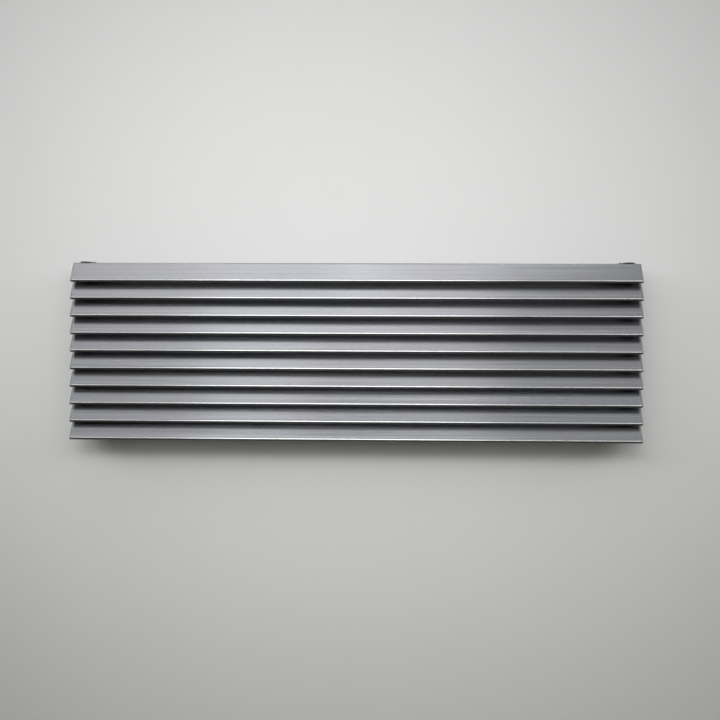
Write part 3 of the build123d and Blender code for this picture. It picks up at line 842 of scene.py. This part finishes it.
class RADIATOR_OT_stage(RadiatorOperator):
    """Set up the wall, the pale floor, the soft lights and the camera"""
    bl_idname = "radiator.stage"
    bl_label = "Stage"

    def execute(self, context):
        self.add_sheets()
        self.add_lights()
        self.add_world(context.scene)
        self.add_camera(context.scene)
        context.scene.view_settings.view_transform = "Standard"
        return {"FINISHED"}

    def add_sheets(self):
        """A wall seen from the front only, and a floor."""
        half_width, wall_top, gap = 12.0, 6.0, 0.0005
        floor_z = -self.sizes.floor_drop
        wall_y = CAD_BOX[1][1] + gap
        wall = [(-half_width, wall_y, floor_z), (half_width, wall_y, floor_z),
                (half_width, wall_y, wall_top), (-half_width, wall_y, wall_top)]
        floor = [(-half_width, -half_width, floor_z), (half_width, -half_width, floor_z),
                 (half_width, half_width, floor_z), (-half_width, half_width, floor_z)]
        paint = painted("wall paint", tuple(self.colours.wall), 0.75, 3.0, 0.03, front_only=True)
        pale = painted("pale floor", tuple(self.colours.floor), 0.6, 2.0, 0.04)
        for name, corners, material in (("wall", wall, paint), ("floor", floor, pale)):
            mesh = bpy.data.meshes.new(name)
            mesh.from_pydata(corners, [], [(0, 1, 2, 3)])
            mesh.materials.append(material)
            sheet = bpy.data.objects.new(name, mesh)
            bpy.context.scene.collection.objects.link(sheet)

    def add_lights(self):
        """Softboxes in rows over each other, left, middle and right, all facing the radiator. Each row
        is an elevation and the radiance of its boxes; a grid on each box keeps its light together."""
        distance, width, height, gridded, open_front = 2.4, 1.35, 0.5, radians(76), pi
        turns = {"left": radians(-38), "middle": radians(-4), "right": radians(30)}
        rows = (
            (radians(8), {"middle": 0.45}),
            (radians(20), {"left": 0.60, "middle": 1.10, "right": 0.70}),
            (radians(32), {"left": 0.06, "middle": 0.34, "right": 0.02}),
            (radians(44), {"left": 0.12, "middle": 0.02, "right": 0.08}),
            (radians(56), {"left": 0.22, "middle": 0.11, "right": 0.07}),
            (radians(68), {"left": 0.30, "middle": 0.02, "right": 0.36}),
        )
        for elevation, radiances in rows:
            for side, radiance in radiances.items():
                aim = Vector((cos(elevation) * sin(turns[side]), -cos(elevation) * cos(turns[side]),
                              sin(elevation)))
                self.add_lamp(f"softbox {side} {round(degrees(elevation))}", aim * distance, width,
                              height, radiance, gridded)
        self.add_lamp("side fill left", Vector((-2.3, -1.3, 1.1)), 1.3, 1.3, 2.0, open_front)
        self.add_lamp("side fill right", Vector((2.3, -1.3, 1.1)), 1.3, 1.3, 1.8, open_front)
        self.add_lamp("back fill level", Vector((0.4, 2.5, 0.1)), 2.8, 1.6, 2.6, open_front)
        self.add_lamp("back fill below", Vector((-0.2, 0.9, -1.4)), 2.6, 0.9, 1.0, open_front)

    def add_lamp(self, name, place, width, height, radiance, opening):
        """One rectangular softbox that faces the radiator."""
        data = bpy.data.lights.new(name, "AREA")
        data.shape = "RECTANGLE"
        data.size, data.size_y = width, height
        data.spread = opening
        data.color = self.colours.light
        data.energy = self.sizes.light * radiance * pi * width * height
        lamp = bpy.data.objects.new(name, data)
        bpy.context.scene.collection.objects.link(lamp)
        lamp.location = place
        lamp.rotation_euler = place.to_track_quat("Z", "Y").to_euler()

    def add_world(self, scene):
        """Grey studio round the scene: what the camera and the steel see of it is brighter than the
        light that it gives."""
        seen, given = 0.28, 0.03
        world = bpy.data.worlds.new("studio air")
        world.use_nodes = True
        tree = world.node_tree
        path = tree.nodes.new("ShaderNodeLightPath")
        looked_at = math_node(tree, "MAXIMUM", path.outputs["Is Camera Ray"], path.outputs["Is Glossy Ray"])
        looked_at = math_node(tree, "MAXIMUM", looked_at, path.outputs["Is Transmission Ray"])
        background = tree.nodes["Background"]
        background.inputs["Color"].default_value = (0.98, 0.99, 1.0, 1.0)
        tree.links.new(spread(tree, looked_at, 0.0, 1.0, given, seen), background.inputs["Strength"])
        scene.world = world

    def add_camera(self, scene):
        """Level camera, a little right of the middle, turned a little left and rolled a little."""
        sizes = self.sizes
        data = bpy.data.cameras.new("camera")
        data.sensor_width = 36.0
        data.lens = sizes.camera_lens
        camera = bpy.data.objects.new("camera", data)
        scene.collection.objects.link(camera)
        place = (sizes.camera_x, CAD_BOX[0][1] - sizes.camera_distance, sizes.camera_height)
        camera.matrix_world = (Matrix.Translation(place) @ Matrix.Rotation(sizes.camera_turn, 4, "Z")
                               @ Matrix.Rotation(pi / 2, 4, "X") @ Matrix.Rotation(sizes.camera_roll, 4, "Z"))
        scene.camera = camera


OPERATORS = (
    RADIATOR_OT_stage,
    RADIATOR_OT_blades,
    RADIATOR_OT_cap_seams,
    RADIATOR_OT_collectors,
    RADIATOR_OT_welds,
    RADIATOR_OT_socket_threads,
    RADIATOR_OT_fittings,
    RADIATOR_OT_brackets,
)


class RADIATOR_PT_panel(bpy.types.Panel):
    """Sidebar panel with the sizes, the colours and a button for each step"""
    bl_label = "Radiator"
    bl_idname = "RADIATOR_PT_panel"
    bl_space_type = "VIEW_3D"
    bl_region_type = "UI"
    bl_category = "Radiator"

    def draw(self, context):
        layout = self.layout
        for group in (context.scene.radiator_sizes, context.scene.radiator_colours):
            box = layout.box()
            for name in group.__annotations__:
                box.prop(group, name)
        for operator in OPERATORS:
            layout.operator(operator.bl_idname)


CLASSES = (RadiatorSizes, RadiatorColours, *OPERATORS, RADIATOR_PT_panel)


def register():
    for each in CLASSES:
        bpy.utils.register_class(each)
    bpy.types.Scene.radiator_sizes = PointerProperty(type=RadiatorSizes)
    bpy.types.Scene.radiator_colours = PointerProperty(type=RadiatorColours)


def unregister():
    del bpy.types.Scene.radiator_colours
    del bpy.types.Scene.radiator_sizes
    for each in reversed(CLASSES):
        bpy.utils.unregister_class(each)


def main():
    register()
    for operator in OPERATORS:
        group, name = operator.bl_idname.split(".")
        getattr(getattr(bpy.ops, group), name)()


if __name__ == "__main__":
    main()
